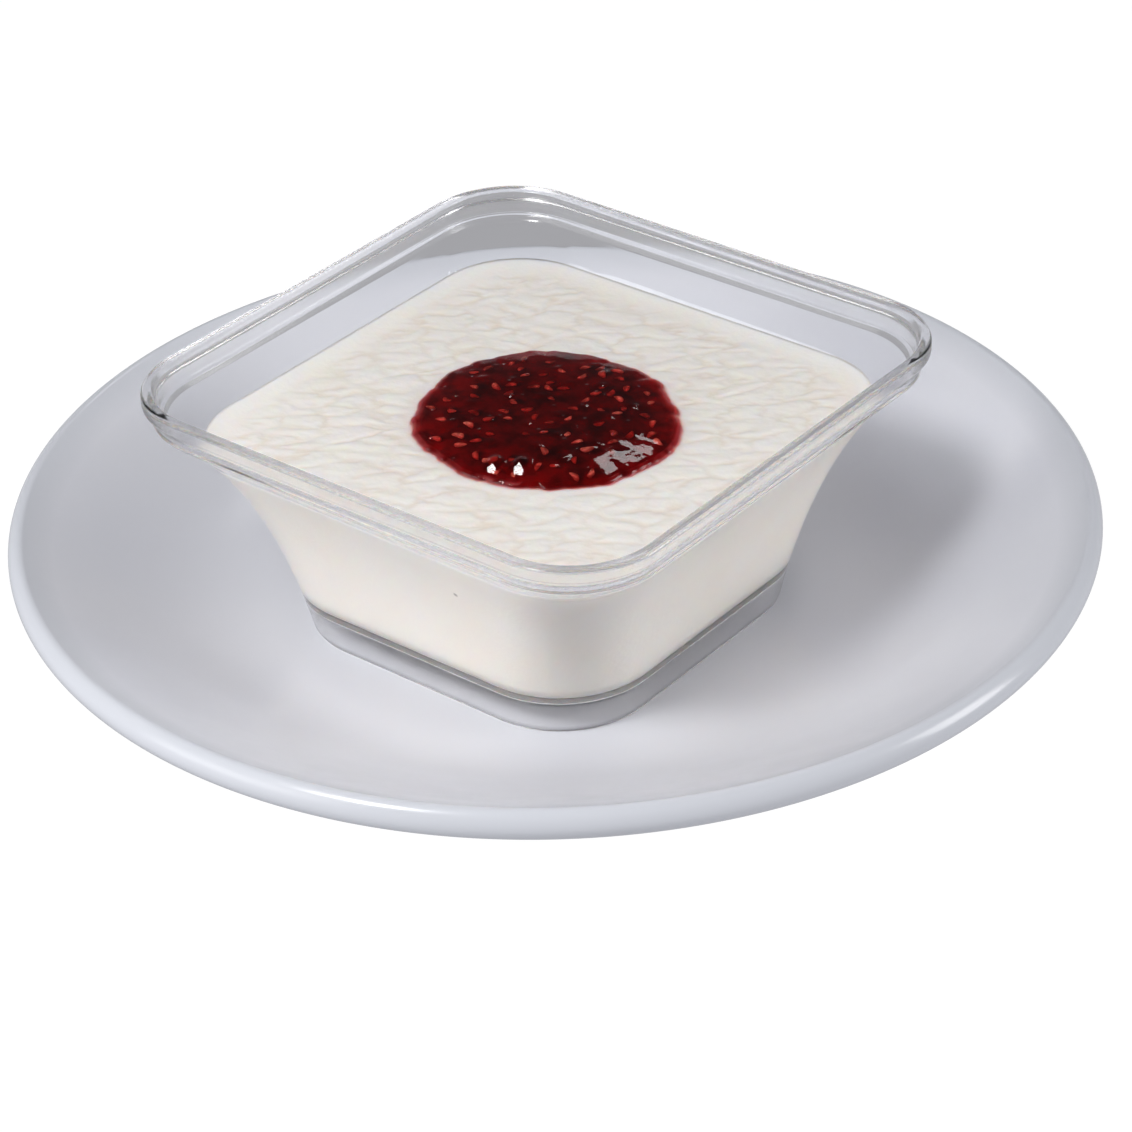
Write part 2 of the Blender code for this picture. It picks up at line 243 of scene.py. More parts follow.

# %% [markdown]
# The dish is clear moulded plastic. A Principled shader with full transmission bends light as the real
# one does. Its wall is polished, but its lip and its foot are left satin by the mould, and the very
# edge that it stands on is tinted grey as painted shade of its contact line, so masks by height set
# the roughness and the tint.
# Cycles takes a clear wall for solid when it asks whether a lamp reaches the pudding, so a Light Path
# node swaps in a Transparent shader for those rays alone. That keeps the pudding bright.

# %% Lamps through a clear wall
def let_lamps_through(material, shader, facing, grazing, held=None):
    """Lets rays from lamps pass straight, tinted. At a grazing angle or where held is 1, fewer pass."""
    tree = material.node_tree
    slant = add(tree, "ShaderNodeLayerWeight", {"Blend": 0.5}).outputs["Facing"]
    steep = maths(tree, "POWER", slant, 2.0)
    if held:
        steep = maths(tree, "MAXIMUM", steep, held)
    straight = add(tree, "ShaderNodeBsdfTransparent", {"Color": blend(tree, steep, facing, grazing)})
    path = add(tree, "ShaderNodeLightPath")
    mix = add(tree, "ShaderNodeMixShader", {
        0: path.outputs["Is Shadow Ray"], 1: shader.outputs[0], 2: straight.outputs[0]})
    tree.links.new(mix.outputs[0], tree.nodes["Material Output"].inputs["Surface"])


print("lamp helper ready")

# %% Clear plastic
POLISHED = 0.01
SATIN = 0.16
SATIN_FOOT = (foot_z + 5.5 * MM, foot_z + 6.5 * MM)
SATIN_LIP = (foot_z + 43 * MM, foot_z + 44.5 * MM)
PAINTED_CONTACT_SHADE_BAND = (foot_z + 0.4 * MM, foot_z + 0.9 * MM)


def make_plastic():
    material, shader = principled("clear_plastic", {"IOR": 1.45, "Transmission Weight": 1.0})
    tree = material.node_tree
    add_bump(tree, shader, mottle(tree, 30.0, 1.0), 0.04, 0.6 * MM)
    up = height_of(tree, place_in(tree))
    satin_foot = ramp(tree, up, *SATIN_FOOT, SATIN, POLISHED)
    satin_lip = ramp(tree, up, *SATIN_LIP, POLISHED, SATIN)
    tree.links.new(maths(tree, "MAXIMUM", satin_foot, satin_lip), shader.inputs["Roughness"])
    # Painted shade: the bottom edge is tinted grey for a dark contact line, and lets fewer lamp rays
    # through.
    painted_contact_shade = ramp(tree, up, *PAINTED_CONTACT_SHADE_BAND, 1.0, 0.0)
    colour = blend(tree, painted_contact_shade, (0.98, 0.98, 0.985, 1), (0.70, 0.70, 0.72, 1))
    tree.links.new(colour, shader.inputs["Base Color"])
    let_lamps_through(material, shader, (0.96, 0.96, 0.96, 1), (0.4, 0.4, 0.42, 1), painted_contact_shade)
    return material


clear_plastic = make_plastic()
print("finish:", clear_plastic.name)

# %% [markdown]
# Set milk is cream coloured, soft and slightly see-through, so light spreads under its skin. Its
# creases are painted a touch darker, which is painted shade, and under the jam it has taken up a
# cloudy red stain. The creases are real relief, made further down, and the mesh carries attributes
# that say where the painted crease shade and the stain are, which the colour reads. One dark speck
# shows in the side.

# %% Milk
SPECK_IN_MILK = (0.0192, -0.0495, 0.0352)
SPECK_RADIUS = 0.6 * MM


def make_milk():
    material, shader = principled("set_milk", {
        "Roughness": 0.42, "IOR": 1.4, "Subsurface Weight": 0.6,
        "Subsurface Radius": (1.0, 0.75, 0.5), "Subsurface Scale": 0.0022})
    tree = material.node_tree
    skin = blend(tree, mottle(tree, 70.0), (0.945, 0.885, 0.82, 1), (0.96, 0.905, 0.855, 1))
    painted_crease_shade = add(tree, "ShaderNodeAttribute", attribute_name="painted_crease_shade").outputs["Fac"]
    # Painted shade: the creases are painted darker than the skin.
    creased = blend(tree, painted_crease_shade, skin, (0.88, 0.80, 0.71, 1))
    in_speck = speck(tree, SPECK_IN_MILK, SPECK_RADIUS)
    specked = blend(tree, in_speck, creased, (0.45, 0.40, 0.36, 1))
    cloudy = blend(tree, mottle(tree, 260.0), (0.145, 0.037, 0.048, 1), (0.45, 0.07, 0.095, 1))
    stain = add(tree, "ShaderNodeAttribute", attribute_name="stain").outputs["Fac"]
    tree.links.new(blend(tree, stain, specked, cloudy), shader.inputs["Base Color"])
    tree.links.new(mottle(tree, 400.0, 3.0, 0.36, 0.5), shader.inputs["Roughness"])
    add_bump(tree, shader, mottle(tree, 900.0, 3.0), 0.12, 0.2 * MM)
    return material


set_milk = make_milk()
print("finish:", set_milk.name)

# %% [markdown]
# Jam is a clear dark red syrup. Its colour comes from depth, so it is made as a liquid that absorbs
# light on the way through, over the stained skin: thin edges stay bright red, and the middle goes
# nearly black. Tiny bubbles are small round bumps in its gloss. The seeds lie inside it, and those
# near the top show orange.

# %% Jam and seeds
SYRUP_TINT = (0.80, 0.15, 0.20, 1)
SYRUP_PER_METRE = 950.0
BUBBLES_PER_METRE = 330.0
BUBBLE_SHARE = 0.13


def make_jam_syrup():
    material, shader = principled("raspberry_syrup", {
        "Base Color": (1.0, 0.92, 0.92, 1), "Roughness": 0.03, "IOR": 1.4,
        "Transmission Weight": 1.0})
    tree = material.node_tree
    depth = add(tree, "ShaderNodeVolumeAbsorption", {"Color": SYRUP_TINT, "Density": SYRUP_PER_METRE})
    tree.links.new(depth.outputs[0], tree.nodes["Material Output"].inputs["Volume"])
    tree.links.new(mottle(tree, 260.0, 2.0, 0.02, 0.06), shader.inputs["Roughness"])
    away = add(tree, "ShaderNodeTexVoronoi", {
        "Vector": flat_place_in(tree), "Scale": BUBBLES_PER_METRE}).outputs["Distance"]
    bubble = add(tree, "ShaderNodeMapRange", {
        "Value": away, "From Max": BUBBLE_SHARE, "To Min": 1.0, "To Max": 0.0},
        interpolation_type="SMOOTHSTEP")
    add_bump(tree, shader, bubble.outputs[0], 1.0, 0.3 * MM)
    let_lamps_through(material, shader, (0.95, 0.85, 0.85, 1), (0.6, 0.4, 0.4, 1))
    return material


def make_seed_coat():
    material, shader = principled("seed_coat", {"Roughness": 0.45, "IOR": 1.45})
    tree = material.node_tree
    colour = blend(tree, mottle(tree, 500.0), (0.30, 0.12, 0.07, 1), (0.85, 0.48, 0.30, 1))
    tree.links.new(colour, shader.inputs["Base Color"])
    return material


raspberry_syrup = make_jam_syrup()
seed_coat = make_seed_coat()
print("finishes:", raspberry_syrup.name, seed_coat.name)

# %% [markdown]
# ## Sections and lofts
#
# The plate, the dish and the sides of the pudding are all one section carried round a path. A section
# is a list of corners, each with a distance out, a height and a fillet radius. One helper rounds the
# corners, and another skins the rings that the section makes.

# %% Section helpers
def bezier(start, handle_a, handle_b, end, share):
    """Point of a cubic curve in a section."""
    rest = 1.0 - share
    weights = (rest**3, 3 * rest * rest * share, 3 * rest * share * share, share**3)
    return tuple(sum(w * p[axis] for w, p in zip(weights, (start, handle_a, handle_b, end)))
                 for axis in range(2))


def rounded(corners, steps=5):
    """A section's corners (out, up, fillet radius), with an arc in place of each that has a radius."""
    points = []
    for i, (out, up, radius) in enumerate(corners):
        here = Vector((out, up))
        if not radius:
            points.append(here)
            continue
        back = (Vector(corners[i - 1][:2]) - here).normalized()
        ahead = (Vector(corners[i + 1][:2]) - here).normalized()
        half_angle = back.angle(ahead) / 2
        middle = here + (back + ahead).normalized() * radius / math.sin(half_angle)
        start = here + back * radius / math.tan(half_angle) - middle
        end = here + ahead * radius / math.tan(half_angle) - middle
        sweep = start.angle_signed(end)
        for k in range(steps + 1):
            angle = -sweep * k / steps
            points.append(middle + Matrix.Rotation(angle, 2) @ start)
    return [(p[0], p[1]) for p in points]


def loft(name, rings, material):
    """A closed mesh through rings of equally many points, with a flat cap at both ends."""
    count = len(rings[0])
    points = [point for ring in rings for point in ring]
    faces = []
    for row in range(len(rings) - 1):
        for i in range(count):
            here, ahead = row * count + i, row * count + (i + 1) % count
            faces.append((here, ahead, ahead + count, here + count))
    faces.append(tuple(reversed(range(count))))
    faces.append(tuple(range(len(points) - count, len(points))))
    mesh = bpy.data.meshes.new(name)
    mesh.from_pydata(points, [], faces)
    tidy = bmesh.new()
    tidy.from_mesh(mesh)
    bmesh.ops.recalc_face_normals(tidy, faces=tidy.faces)
    tidy.to_mesh(mesh)
    tidy.free()
    mesh.materials.append(material)
    mesh.shade_smooth()
    return mesh


def make_piece(name, mesh, node=None):
    """An object that rides on the dessert's one body and, where a node is named, stands for it."""
    piece = bpy.data.objects.new(name, mesh)
    bpy.context.collection.objects.link(piece)
    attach(piece, "root")
    if node:
        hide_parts(node)
    print(f"{name}: {sum(len(p.vertices) - 2 for p in mesh.polygons)} triangles")


# %% [markdown]
# ## The plate
#
# A potter would turn this plate: a foot ring, a flat well, a wall that sweeps up, and a thick rolled
# rim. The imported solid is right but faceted, and its facets would show in the gloss, so the same
# section is turned again with more steps and real fillets.

# %% Plate
WELL_HEIGHT = 5.5 * MM
WELL_FLAT_RADIUS = 54 * MM
FOOT_RING_RADIUS = 57 * MM
FOOT_RING_WIDTH = 3.6 * MM
FOOT_RECESS = 1.7 * MM
RIM_RADIUS = 3.1 * MM
RIM_MIDDLE_HEIGHT = 20.9 * MM
RIM_CREST_RADIUS = 1.5 * MM
RIM_START = -62
CREST_START = 57.5
CREST_SWEEP = 63.5
UNDER_HANDLE = 14 * MM
WALL_RISE = 31
WALL_HANDLE = 22 * MM
PLATE_STEPS = 256


def arc(x, z, radius, degrees):
    """Point of a circle in a section."""
    return x + radius * math.cos(math.radians(degrees)), z + radius * math.sin(math.radians(degrees))


def plate_section():
    ring_inner = FOOT_RING_RADIUS - FOOT_RING_WIDTH
    foot = rounded([
        (3 * MM, FOOT_RECESS, 0), (30 * MM, FOOT_RECESS, 0),
        (ring_inner - 1.6 * MM, FOOT_RECESS, 1.2 * MM), (ring_inner - 0.2 * MM, 0, 0.7 * MM),
        (FOOT_RING_RADIUS + 0.3 * MM, 0, 0.8 * MM), (FOOT_RING_RADIUS + 1.6 * MM, 1.9 * MM, 0)])
    rim_x = plate_radius - RIM_RADIUS
    low_to_crest = CREST_START - RIM_START
    rim = [arc(rim_x, RIM_MIDDLE_HEIGHT, RIM_RADIUS, RIM_START + low_to_crest * k / 24) for k in range(25)]
    crest = arc(rim_x, RIM_MIDDLE_HEIGHT, RIM_RADIUS - RIM_CREST_RADIUS, CREST_START)
    rim += [arc(*crest, RIM_CREST_RADIUS, CREST_START + CREST_SWEEP * k / 16) for k in range(1, 17)]
    under_handle = arc(*rim[0], UNDER_HANDLE, RIM_START - 90)
    wall_handle = arc(*rim[-1], WALL_HANDLE, WALL_RISE + 180)
    under = [bezier(foot[-1], (72 * MM, 4.8 * MM), under_handle, rim[0], k / 24) for k in range(1, 24)]
    well_edge = (WELL_FLAT_RADIUS, WELL_HEIGHT)
    well_handle = (68 * MM, WELL_HEIGHT)
    over = [bezier(rim[-1], wall_handle, well_handle, well_edge, k / 32) for k in range(1, 33)]
    flat = [(share * WELL_FLAT_RADIUS, WELL_HEIGHT) for share in (0.85, 0.6, 0.3, 0.05)]
    return foot + under + rim + over + flat


def turned_ring(radius, height):
    angles = [2 * math.pi * i / PLATE_STEPS for i in range(PLATE_STEPS)]
    return [(radius * math.cos(a), radius * math.sin(a), height) for a in angles]


plate_mesh = loft("plate", [turned_ring(*point) for point in plate_section()], white_glaze)
make_piece("turned_plate", plate_mesh, "plate")

# %% [markdown]
# ## The dish
#
# The dish is moulded: one wall of even thickness, flared like a bell, with a lip band, a small ledge
# inside for stacking, and an open foot under the floor. Light bends at every face of clear plastic,
# so the wall needs both its faces and every fillet. The ring that the section is carried round is a
# square with round corners.

# %% Dish measures
LIP_WIDTH = 2.5 * MM
LIP_DEPTH = 2.6 * MM
COLLAR_STEP = 1.1 * MM
COLLAR_BOTTOM = 44.6 * MM
WALL = 1.5 * MM
LEDGE_HEIGHT = 45.4 * MM
LEDGE_WIDTH = 0.8 * MM
LEDGE_SHARE = 0.78
FLOOR_TOP = 7.8 * MM
FLOOR_BOTTOM = 6.4 * MM
FOOT_HALF = 35.8 * MM
FOOT_SINK = 0.27 * MM
CORNER_RADIUS = 17.6 * MM
CORNER_SWELL = 1.6 * MM
BELL_HANDLES = ((44.9 * MM, 44.4 * MM), (53.3 * MM, 42.0 * MM))
collar_half = lip_half - COLLAR_STEP


def bell(share):
    """(half width, height) on the outside of the bell, from the foot, 0, to the collar, 1."""
    return bezier((FOOT_HALF, 0.0), *BELL_HANDLES, (collar_half - 0.2 * MM, COLLAR_BOTTOM), share)


def inside_bell(share):
    """The point one wall thickness in from the outside."""
    low, high = bell(max(share - 0.01, 0)), bell(min(share + 0.01, 1))
    along = Vector((high[0] - low[0], high[1] - low[1])).normalized()
    half, height = bell(share)
    return half - WALL * along.y, height + WALL * along.x


def share_at(curve, height):
    """The share of a rising curve at which it reaches a height."""
    low, high = 0.0, 1.0
    for _ in range(40):
        middle = 0.5 * (low + high)
        low, high = (middle, high) if curve(middle)[1] < height else (low, middle)
    return 0.5 * (low + high)


def outer_half(height):
    if height >= dish_height - LIP_DEPTH:
        return lip_half
    if height >= COLLAR_BOTTOM:
        return collar_half
    return bell(share_at(bell, height))[0]


def inner_half(height):
    return inside_bell(share_at(inside_bell, height))[0]


def corner_radius(half, height):
    swell = CORNER_SWELL * math.sin(math.pi * min(max(height, 0) / COLLAR_BOTTOM, 1))
    return CORNER_RADIUS + swell - max(outer_half(height) - half, 0)


print(f"inside of the wall at the floor: {inner_half(FLOOR_TOP) / MM:.1f} mm from the middle")

# %% Dish mesh
CORNER_STEPS = 18
SIDE_STEPS = 12


def square_ring(half, height, corner=None):
    """A square with round corners about the dish's middle."""
    corner = corner_radius(half, height) if corner is None else corner
    reach = half - corner
    ring = []
    for quarter in range(4):
        turned = Matrix.Rotation(quarter * math.pi / 2, 2)
        side = [Vector((half, reach * (2 * i / SIDE_STEPS - 1))) for i in range(SIDE_STEPS)]
        angles = [0.5 * math.pi * i / CORNER_STEPS for i in range(CORNER_STEPS)]
        bend = [Vector((reach + corner * math.cos(a), reach + corner * math.sin(a))) for a in angles]
        ring += [turned @ point for point in side + bend]
    return [(dish_x + p.x, dish_y + p.y, foot_z + height) for p in ring]


def dish_section():
    skirt_top = inner_half(FLOOR_BOTTOM)
    lip_bottom = dish_height - LIP_DEPTH
    inner_lip = lip_half - LIP_WIDTH
    floor_half = inner_half(FLOOR_TOP)
    outer = [bell(k / 40) + (0,) for k in range(1, 39)]
    low_share = share_at(inside_bell, FLOOR_TOP + 1.6 * MM)
    climb = LEDGE_SHARE - low_share
    inner = [inside_bell(low_share + climb * k / 36) + (0,) for k in range(36, -1, -1)]
    return rounded(
        [(5 * MM, FLOOR_BOTTOM, 0), (skirt_top - 6 * MM, FLOOR_BOTTOM, 0),
         (skirt_top - 0.1 * MM, FLOOR_BOTTOM, 0.8 * MM),
         (FOOT_HALF - WALL + 0.2 * MM, -FOOT_SINK, 0.5 * MM), (FOOT_HALF, -FOOT_SINK, 0.5 * MM)]
        + outer
        + [(collar_half, COLLAR_BOTTOM, 0.8 * MM), (collar_half, lip_bottom, 0.4 * MM),
           (lip_half, lip_bottom, 0.6 * MM), (lip_half, dish_height, 0.75 * MM),
           (inner_lip, dish_height, 0.9 * MM), (inner_lip, LEDGE_HEIGHT, 0.45 * MM),
           (inner_lip - LEDGE_WIDTH, LEDGE_HEIGHT - 0.15 * MM, 0.5 * MM)]
        + inner
        + [(floor_half - 0.3 * MM, FLOOR_TOP, 1.3 * MM), (floor_half - 6 * MM, FLOOR_TOP, 0),
           (5 * MM, FLOOR_TOP, 0)])


dish_mesh = loft("dish", [square_ring(*point) for point in dish_section()], clear_plastic)
make_piece("clear_dish", dish_mesh, "dish")

# %% [markdown]
# ## The pudding
#
# The milk was poured in, so its sides are the dish's inside. They reach a little way into the wall, as
# any air gap between them would show as a silvery film. On top, the milk is drawn up at the wall and
# dips under the jam. The skin is a square grid bent to the dish's round corners, so that its faces
# stay small and even enough to carry creases.

# %% Pudding measures
PUDDING_LEVEL = 38.3 * MM
MENISCUS_RISE = 1.0 * MM
MENISCUS_WIDTH = 4.5 * MM
INTO_WALL = 0.12 * MM
JAM_RADIUS = 24.1 * MM
JAM_CROWN = 2.6 * MM
JAM_BRINK = 1.1 * MM
JAM_BRINK_WIDTH = 0.9 * MM
JAM_FLAT = 0.4
JAM_DIP = 0.8 * MM
JAM_DIP_SHOULDER = 3.0 * MM
STAIN_LEAST_FADE = 0.5 * MM
STAIN_ADDED_FADE = 1.9 * MM
JAM_WAVES = ((2, 0.034, 1.94), (3, 0.009, 1.5), (5, 0.008, 1.0), (7, 0.011, -0.9),
             (11, 0.005, 0.4), (16, 0.0045, 2.2), (19, 0.0045, 5.1), (27, 0.004, 0.8),
             (31, 0.0035, 3.3), (43, 0.003, 1.2), (59, 0.002, 4.4), (71, 0.0015, 2.9))
jam_x = dish_x + 1.9 * MM
jam_y = dish_y - 0.5 * MM
SKIN_STEPS = 200


def smooth_step(share):
    share = min(max(share, 0.0), 1.0)
    return share * share * (3 - 2 * share)


def jam_reach(angle):
    """The pool's uneven radius."""
    waves = sum(share * math.sin(lobes * angle + phase) for lobes, share, phase in JAM_WAVES)
    return JAM_RADIUS * (1 + waves)


def inside_jam(x, y):
    """How far a place lies inside the jam's outline, less than 0 outside it."""
    return jam_reach(math.atan2(y - jam_y, x - jam_x)) - math.hypot(x - jam_x, y - jam_y)


def skin_point(i, j, edge_half, corner):
    """Place on the skin of one crossing of the grid, and how far that is from the wall."""
    u, v = 2 * i / SKIN_STEPS - 1, 2 * j / SKIN_STEPS - 1
    share = max(abs(u), abs(v))
    if share == 0:
        return dish_x, dish_y, edge_half
    u, v = u / share, v / share
    reach = 1 - corner / edge_half
    scale = 1.0
    if min(abs(u), abs(v)) > reach:
        # The direction meets the corner's arc where |scale * (u, v) - corner middle| = arc radius.
        a, b = u * u + v * v, reach * (abs(u) + abs(v))
        c = 2 * reach**2 - (1 - reach) ** 2
        scale = (b + math.sqrt(b * b - a * c)) / a
    half = edge_half * share * scale
    return dish_x + half * u, dish_y + half * v, edge_half * (1 - share)


print(f"skin grid of {SKIN_STEPS} x {SKIN_STEPS} faces")

# %% Pudding mesh
def calm_at(from_wall, inside):
    """How freely the skin may crease: 0 at the wall and round the jam, 1 away from them."""
    return smooth_step((from_wall / MM - 2.2) / 4.0) * smooth_step((-inside / MM - 0.2) / 2.5)


def stain_at(x, y, inside):
    """How far jam has stained the skin. It fades out at the brink, over a wider band in front."""
    nearer = (x - jam_x) * math.sin(CAMERA_TURN) - (y - jam_y) * math.cos(CAMERA_TURN)
    fade = STAIN_LEAST_FADE + STAIN_ADDED_FADE * smooth_step(1 + nearer / JAM_RADIUS)
    return 0.06 * smooth_step(1 + inside / (0.7 * MM)) + 0.94 * smooth_step(inside / fade - 0.1)


def pudding_mesh():
    """The skin's grid, the sides that hang from its edge, and the floor that closes them."""
    top = PUDDING_LEVEL + MENISCUS_RISE
    edge_half = inner_half(top) + INTO_WALL
    corner = corner_radius(edge_half, top)
    grid = SKIN_STEPS + 1
    points, calm, stain = [], [], []
    for j in range(grid):
        for i in range(grid):
            x, y, from_wall = skin_point(i, j, edge_half, corner)
            drawn_up = MENISCUS_RISE * max(1 - from_wall / MENISCUS_WIDTH, 0) ** 2
            inside = inside_jam(x, y)
            height = PUDDING_LEVEL + drawn_up - JAM_DIP * smooth_step(inside / JAM_DIP_SHOULDER)
            points.append((x, y, foot_z + height))
            calm.append(calm_at(from_wall, inside))
            stain.append(stain_at(x, y, inside))
    faces = []
    for j in range(SKIN_STEPS):
        for i in range(SKIN_STEPS):
            a = j * grid + i
            faces.append((a, a + 1, a + grid + 1, a + grid))
    border = list(range(SKIN_STEPS))
    border += [j * grid + SKIN_STEPS for j in range(SKIN_STEPS)]
    border += [SKIN_STEPS * grid + i for i in range(SKIN_STEPS, 0, -1)]
    border += [j * grid for j in range(SKIN_STEPS, 0, -1)]
    bottom = FLOOR_TOP - INTO_WALL
    heights = [bottom + (top - bottom) * (1 - k / 30) for k in range(1, 30)]
    section = [(inner_half(max(h, FLOOR_TOP + 1.5 * MM)) + INTO_WALL, h) for h in heights]
    floor_half = section[-1][0]
    section = [p for p in section if p[1] > bottom + 1.6 * MM]
    section += [(floor_half - 0.35 * MM, bottom + 0.5 * MM), (floor_half - 1.4 * MM, bottom)]
    above = border
    for half, height in section:
        ring_corner = corner_radius(half, height)
        below = []
        for index in border:
            i, j = index % grid, index // grid
            x, y, _ = skin_point(i, j, half, ring_corner)
            below.append(len(points))
            points.append((x, y, foot_z + height))
            calm.append(0.0)
            stain.append(0.0)
        for k in range(len(border)):
            n = (k + 1) % len(border)
            faces.append((above[n], above[k], below[k], below[n]))
        above = below
    faces.append(tuple(reversed(above)))
    mesh = bpy.data.meshes.new("pudding")
    mesh.from_pydata(points, [], faces)
    mesh.attributes.new("calm", "FLOAT", "POINT").data.foreach_set("value", calm)
    mesh.attributes.new("stain", "FLOAT", "POINT").data.foreach_set("value", stain)
    mesh.materials.append(set_milk)
    mesh.shade_smooth()
    return mesh


skin_body = bpy.data.objects.new("pudding", pudding_mesh())
bpy.context.collection.objects.link(skin_body)
print("pudding before creasing:", len(skin_body.data.polygons), "faces")

# %% [markdown]
# ## Creases in the skin
#
# As milk sets, its skin shrinks and wrinkles into small flat cushions with fine creases between them.
# Painting bumps would vanish from the side, so the relief is real. A geometry tree cuts the skin into
# cells with a Voronoi texture, wanders them with noise, domes each cell and sinks its border. The
# calm attribute fades the relief out at the wall and round the jam.

# %% Tree helpers
def new_tree(name, sizes):
    """A geometry tree with named sizes, its input node and the sockets of that node."""
    tree = bpy.data.node_groups.new(name, "GeometryNodeTree")
    tree.interface.new_socket("Geometry", in_out="INPUT", socket_type="NodeSocketGeometry")
    for label, value in sizes.items():
        kind = "NodeSocketMaterial" if isinstance(value, bpy.types.Material) else "NodeSocketFloat"
        tree.interface.new_socket(label, in_out="INPUT", socket_type=kind)
    tree.interface.new_socket("Geometry", in_out="OUTPUT", socket_type="NodeSocketGeometry")
    return tree, add(tree, "NodeGroupInput").outputs


def close_tree(tree, geometry, material):
    real = add(tree, "GeometryNodeRealizeInstances", {0: geometry})
    dressed = add(tree, "GeometryNodeSetMaterial", {"Geometry": real.outputs[0], "Material": material})
    add(tree, "NodeGroupOutput", {0: dressed.outputs[0]})


def grow(carrier, tree, sizes):
    """What the tree makes of the carrier, as a plain mesh."""
    modifier = carrier.modifiers.new(tree.name, "NODES")
    modifier.node_group = tree
    for item in tree.interface.items_tree:
        if item.item_type == "SOCKET" and item.in_out == "INPUT" and item.name in sizes:
            modifier[item.identifier] = sizes[item.name]
    graph = bpy.context.evaluated_depsgraph_get()
    mesh = bpy.data.meshes.new_from_object(carrier.evaluated_get(graph))
    bpy.data.objects.remove(carrier)
    return mesh


print("tree helpers ready")

# %% Crease tree
CREASES = {
    "Cell Length": 7.8 * MM, "Cell Width": 4.4 * MM, "Run": CAMERA_TURN, "Wander": 0.8,
    "Cushion": 0.17 * MM, "Crease Depth": 0.11 * MM, "Crease Width": 0.17, "Swell": 0.35 * MM,
    "Skin": set_milk}


def crease_tree():
    tree, given = new_tree("creased_skin", CREASES)
    place = add(tree, "GeometryNodeInputPosition").outputs[0]
    along = add(tree, "ShaderNodeVectorRotate", {
        "Vector": place, "Angle": maths(tree, "MULTIPLY", given["Run"], -1.0)}, rotation_type="Z_AXIS")
    parts = add(tree, "ShaderNodeSeparateXYZ", {0: along.outputs[0]}).outputs
    cells = add(tree, "ShaderNodeCombineXYZ", {
        0: maths(tree, "DIVIDE", parts[0], given["Cell Length"]),
        1: maths(tree, "DIVIDE", parts[1], given["Cell Width"])}).outputs[0]
    wandered = cells
    for scale, share in ((0.8, 1.6), (2.3, 0.75), (5.5, 0.2)):
        noise = add(tree, "ShaderNodeTexNoise", {"Vector": cells, "Scale": scale, "Detail": 1.0})
        centred = add(tree, "ShaderNodeVectorMath", {0: noise.outputs["Color"], 1: (0.5, 0.5, 0.5)},
                      operation="SUBTRACT").outputs[0]
        reach = maths(tree, "MULTIPLY", given["Wander"], share)
        shift = add(tree, "ShaderNodeVectorMath", {0: centred, "Scale": reach}, operation="SCALE")
        wandered = add(tree, "ShaderNodeVectorMath", {0: wandered, 1: shift.outputs[0]},
                       operation="ADD").outputs[0]
    border = add(tree, "ShaderNodeTexVoronoi", {"Vector": wandered, "Scale": 1.0, "Randomness": 1.0},
                 feature="DISTANCE_TO_EDGE", voronoi_dimensions="2D").outputs["Distance"]
    flank = add(tree, "ShaderNodeMapRange", {"Value": border, "From Max": given["Crease Width"]},
                interpolation_type="SMOOTHSTEP").outputs[0]
    dome = add(tree, "ShaderNodeMapRange", {"Value": border, "From Max": 0.45},
               interpolation_type="SMOOTHSTEP").outputs[0]
    fade_noise = add(tree, "ShaderNodeTexNoise", {"Vector": cells, "Scale": 0.9, "Detail": 1.0})
    strength = ramp(tree, fade_noise.outputs[0], 0.35, 0.6, 0.15, 1.0)
    swell_noise = add(tree, "ShaderNodeTexNoise", {"Vector": cells, "Scale": 0.45, "Detail": 1.0})
    swell = maths(tree, "SUBTRACT", swell_noise.outputs[0], 0.5)
    swell = maths(tree, "MULTIPLY", swell, given["Swell"])
    sunk = maths(tree, "MULTIPLY", maths(tree, "SUBTRACT", 1.0, flank), strength)
    down = maths(tree, "MULTIPLY", sunk, given["Crease Depth"])
    up = maths(tree, "MULTIPLY", maths(tree, "SUBTRACT", dome, 0.6), given["Cushion"])
    calm = add(tree, "GeometryNodeInputNamedAttribute", {"Name": "calm"}, data_type="FLOAT").outputs[0]
    relief = maths(tree, "MULTIPLY", calm, maths(tree, "ADD", swell, maths(tree, "SUBTRACT", up, down)))
    moved = add(tree, "GeometryNodeSetPosition", {
        "Geometry": given["Geometry"],
        "Offset": add(tree, "ShaderNodeCombineXYZ", {2: relief}).outputs[0]})
    # The stored crease mask only darkens the milk's colour: painted shade in the creases.
    marked = add(tree, "GeometryNodeStoreNamedAttribute", {
        "Geometry": moved.outputs[0], "Name": "painted_crease_shade", "Value": maths(tree, "MULTIPLY", sunk, calm)},
        data_type="FLOAT", domain="POINT")
    close_tree(tree, marked.outputs[0], given["Skin"])
    return tree


creased = grow(skin_body, crease_tree(), CREASES)
creased.name = "creased_pudding"
make_piece("milk_pudding", creased, "pudding")

# %% [markdown]
# ## The jam
#
# A spoonful of jam settles into a low pool with a round brink and an uneven outline. Seeds near the
# top lift it into small mounds. The pool is a set of rings drawn in from its outline: up over the
# brink, across the dome, and back underneath, a hair below the skin so that no air lies between.

# %% Jam measures
SEED_COUNT = 24
SEED_LENGTH = 2.2 * MM
SEED_WIDTH = 1.3 * MM
SEED_PROUD = 0.14 * MM
SEED_REACH = 0.80
JAM_STEPS = 300
UNDER_SKIN = 0.12 * MM
LUMP_FACE_TURN = math.radians(-69.5)
LUMP_FACE_RISE = math.tan(math.radians(49.6))
LUMP_FACE_FOOT = 1.8 * MM
LUMP_RISE = 1.0 * MM
LUMP_TOE = 0.7 * MM
LUMPS = ((4.0 * MM, -20.4 * MM, 0.8 * MM), (8.2 * MM, -18.2 * MM, 0.9 * MM))


